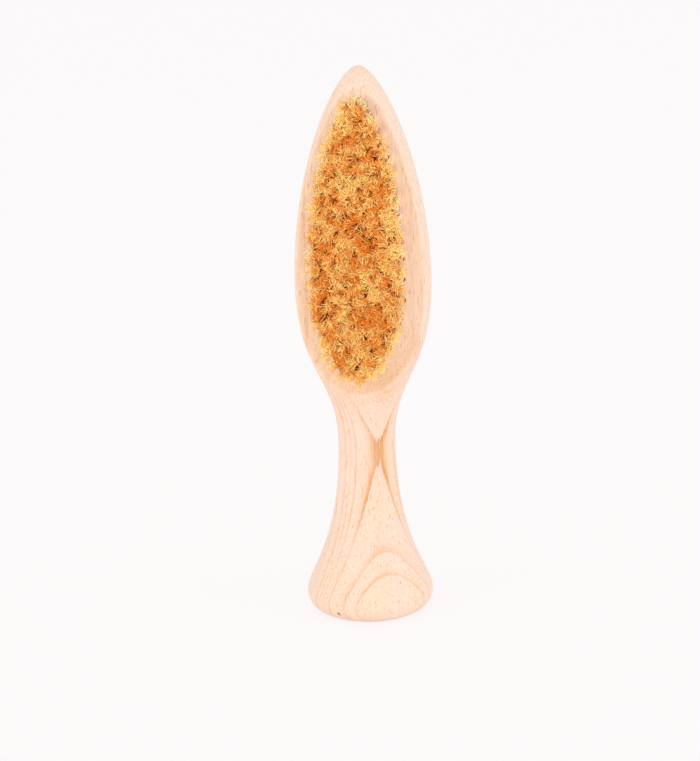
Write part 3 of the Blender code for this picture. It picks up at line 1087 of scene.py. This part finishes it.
@dataclass
class Studio:
    """A plain pale floor, a background of the same colour, soft light and the camera."""

    target: tuple[float, float, float] = (0.0, 0.0, 75.0 * MM)
    distance: float = 1200.0 * MM
    azimuth: float = math.radians(9.0)
    elevation: float = math.radians(17.53)
    roll: float = math.radians(1.38)
    pixels_per_metre: float = 3766.6
    target_pixel: tuple[float, float] = (364.51, 340.07)
    sensor_width: float = 36.0
    clip_start: float = 10.0 * MM
    floor_colour: str = "#fefcfd"
    floor_shadow: float = 0.16
    floor_size: float = 6.0
    floor_roughness: float = 0.9
    floor_specular: float = 0.1
    world_colour: str = "#fffaf5"
    world_strength: float = 0.82
    lamps: tuple[Lamp, ...] = (Lamp("key", (0.6, -1.7, 0.3), 0.9, 5.75, "#fffdf8"),
                               Lamp("fill", (-1.2, -0.9, 0.3), 1.0, 4.7, "#fff9f4"),
                               Lamp("rim", (1.6, -0.35, 0.45), 0.8, 4.0, "#fffaf8"))

    def build_camera(self) -> bpy.types.Object:
        """Place the camera at the photograph's viewing angle.

        Returns:
            The camera's object.
        """
        a, e = self.azimuth, self.elevation
        towards = Vector((math.sin(a) * math.cos(e), -math.cos(a) * math.cos(e), math.sin(e)))
        right = Vector((math.cos(a), math.sin(a), 0.0))
        up = towards.cross(right)
        image_right = math.cos(self.roll) * right - math.sin(self.roll) * up
        image_up = math.sin(self.roll) * right + math.cos(self.roll) * up
        aim = (Vector(self.target)
               + image_right * (0.5 * FRAME_WIDTH - self.target_pixel[0]) / self.pixels_per_metre
               - image_up * (0.5 * FRAME_HEIGHT - self.target_pixel[1]) / self.pixels_per_metre)
        place = Vector(self.target) + self.distance * towards
        back = (place - aim).normalized()
        image_right = (image_right - image_right.dot(back) * back).normalized()
        image_up = back.cross(image_right)
        data = bpy.data.cameras.new("camera")
        data.sensor_fit = "HORIZONTAL"
        data.sensor_width = self.sensor_width
        data.lens = self.sensor_width * self.pixels_per_metre * self.distance / FRAME_WIDTH
        data.clip_start = self.clip_start
        camera = bpy.data.objects.new("camera", data)
        camera.matrix_world = Matrix((
            (image_right.x, image_up.x, back.x, place.x),
            (image_right.y, image_up.y, back.y, place.y),
            (image_right.z, image_up.z, back.z, place.z),
            (0.0, 0.0, 0.0, 1.0)))
        bpy.context.scene.collection.objects.link(camera)
        bpy.context.scene.camera = camera
        return camera

    def pale_when_seen(self, tree: bpy.types.NodeTree, shader: bpy.types.Node,
                       pale: bpy.types.Node) -> bpy.types.Node:
        """Show a plain pale colour to rays from the camera, by way of gloss and glass too.

        Args:
            tree: the node tree.
            shader: what every other ray meets.
            pale: what these rays meet.

        Returns:
            The mixed shader's node.
        """
        path = add_node(tree, "ShaderNodeLightPath").outputs
        seen = path["Is Camera Ray"]
        for ray in ("Is Glossy Ray", "Is Transmission Ray"):
            seen = add_node(tree, "MAXIMUM", seen, path[ray])
        return add_node(tree, "ShaderNodeMixShader", seen, shader, pale)

    def build_world(self) -> None:
        """Light the scene evenly from all round, with a pale background."""
        world = bpy.data.worlds.new("studio")
        world.use_nodes = True
        bpy.context.scene.world = world
        tree = world.node_tree
        light = tree.nodes["Background"]
        set_inputs(light, {"Color": linear(self.world_colour), "Strength": self.world_strength})
        pale = add_node(tree, "ShaderNodeBackground", linear(self.floor_colour), 1.0)
        set_inputs(tree.nodes["World Output"], {"Surface": self.pale_when_seen(tree, light, pale)})

    def build_floor(self) -> bpy.types.Object:
        """Lay the floor.

        Returns:
            The floor's object.
        """
        material, shader = new_material("pale_paper")
        set_inputs(shader, {"Base Color": linear(self.floor_colour),
                            "Roughness": self.floor_roughness,
                            "Specular IOR Level": self.floor_specular})
        tree = material.node_tree
        pale = add_node(tree, "ShaderNodeEmission", linear(self.floor_colour), 1.0)
        shaded = add_node(tree, "ShaderNodeMixShader", self.floor_shadow, pale, shader)
        seen = self.pale_when_seen(tree, shader, shaded)
        set_inputs(tree.nodes["Material Output"], {"Surface": seen})
        half = 0.5 * self.floor_size
        mesh = bpy.data.meshes.new("floor")
        mesh.from_pydata([(-half, -half, 0.0), (half, -half, 0.0), (half, half, 0.0),
                          (-half, half, 0.0)], [], [(0, 1, 2, 3)])
        floor = mesh_object("floor", mesh, material)
        floor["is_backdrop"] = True
        return floor

    def build(self) -> None:
        """Build the whole studio."""
        self.build_camera()
        self.build_world()
        self.build_floor()
        for lamp in self.lamps:
            lamp.build(Vector(self.target))
        bpy.context.scene.view_settings.view_transform = "Standard"


def report(items: Iterable[bpy.types.Object]) -> None:
    """Log each piece and its number of triangles.

    Args:
        items: the pieces.
    """
    for item in items:
        triangles = sum(len(face.vertices) - 2 for face in item.data.polygons)
        LOG.info("%s: %d triangles", item.name, triangles)


def corners(box: Any) -> list[list[float]]:
    """Return a box's lowest and highest corner as plain lists of numbers."""
    return [[float(value) for value in corner] for corner in box]


def main() -> None:
    """Build the brush and its studio, and work out the two boxes."""
    logging.basicConfig(level=logging.INFO, format="%(message)s")
    solid_box = corners(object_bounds())
    body = TurnedBody(WaxedBeech().build())
    report([body.build()])
    report(BristleField(TampicoFibre().build(), body).build())
    Studio().build()
    {"cad": solid_box, "visual": corners(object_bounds())}


if __name__ == "__main__":
    main()
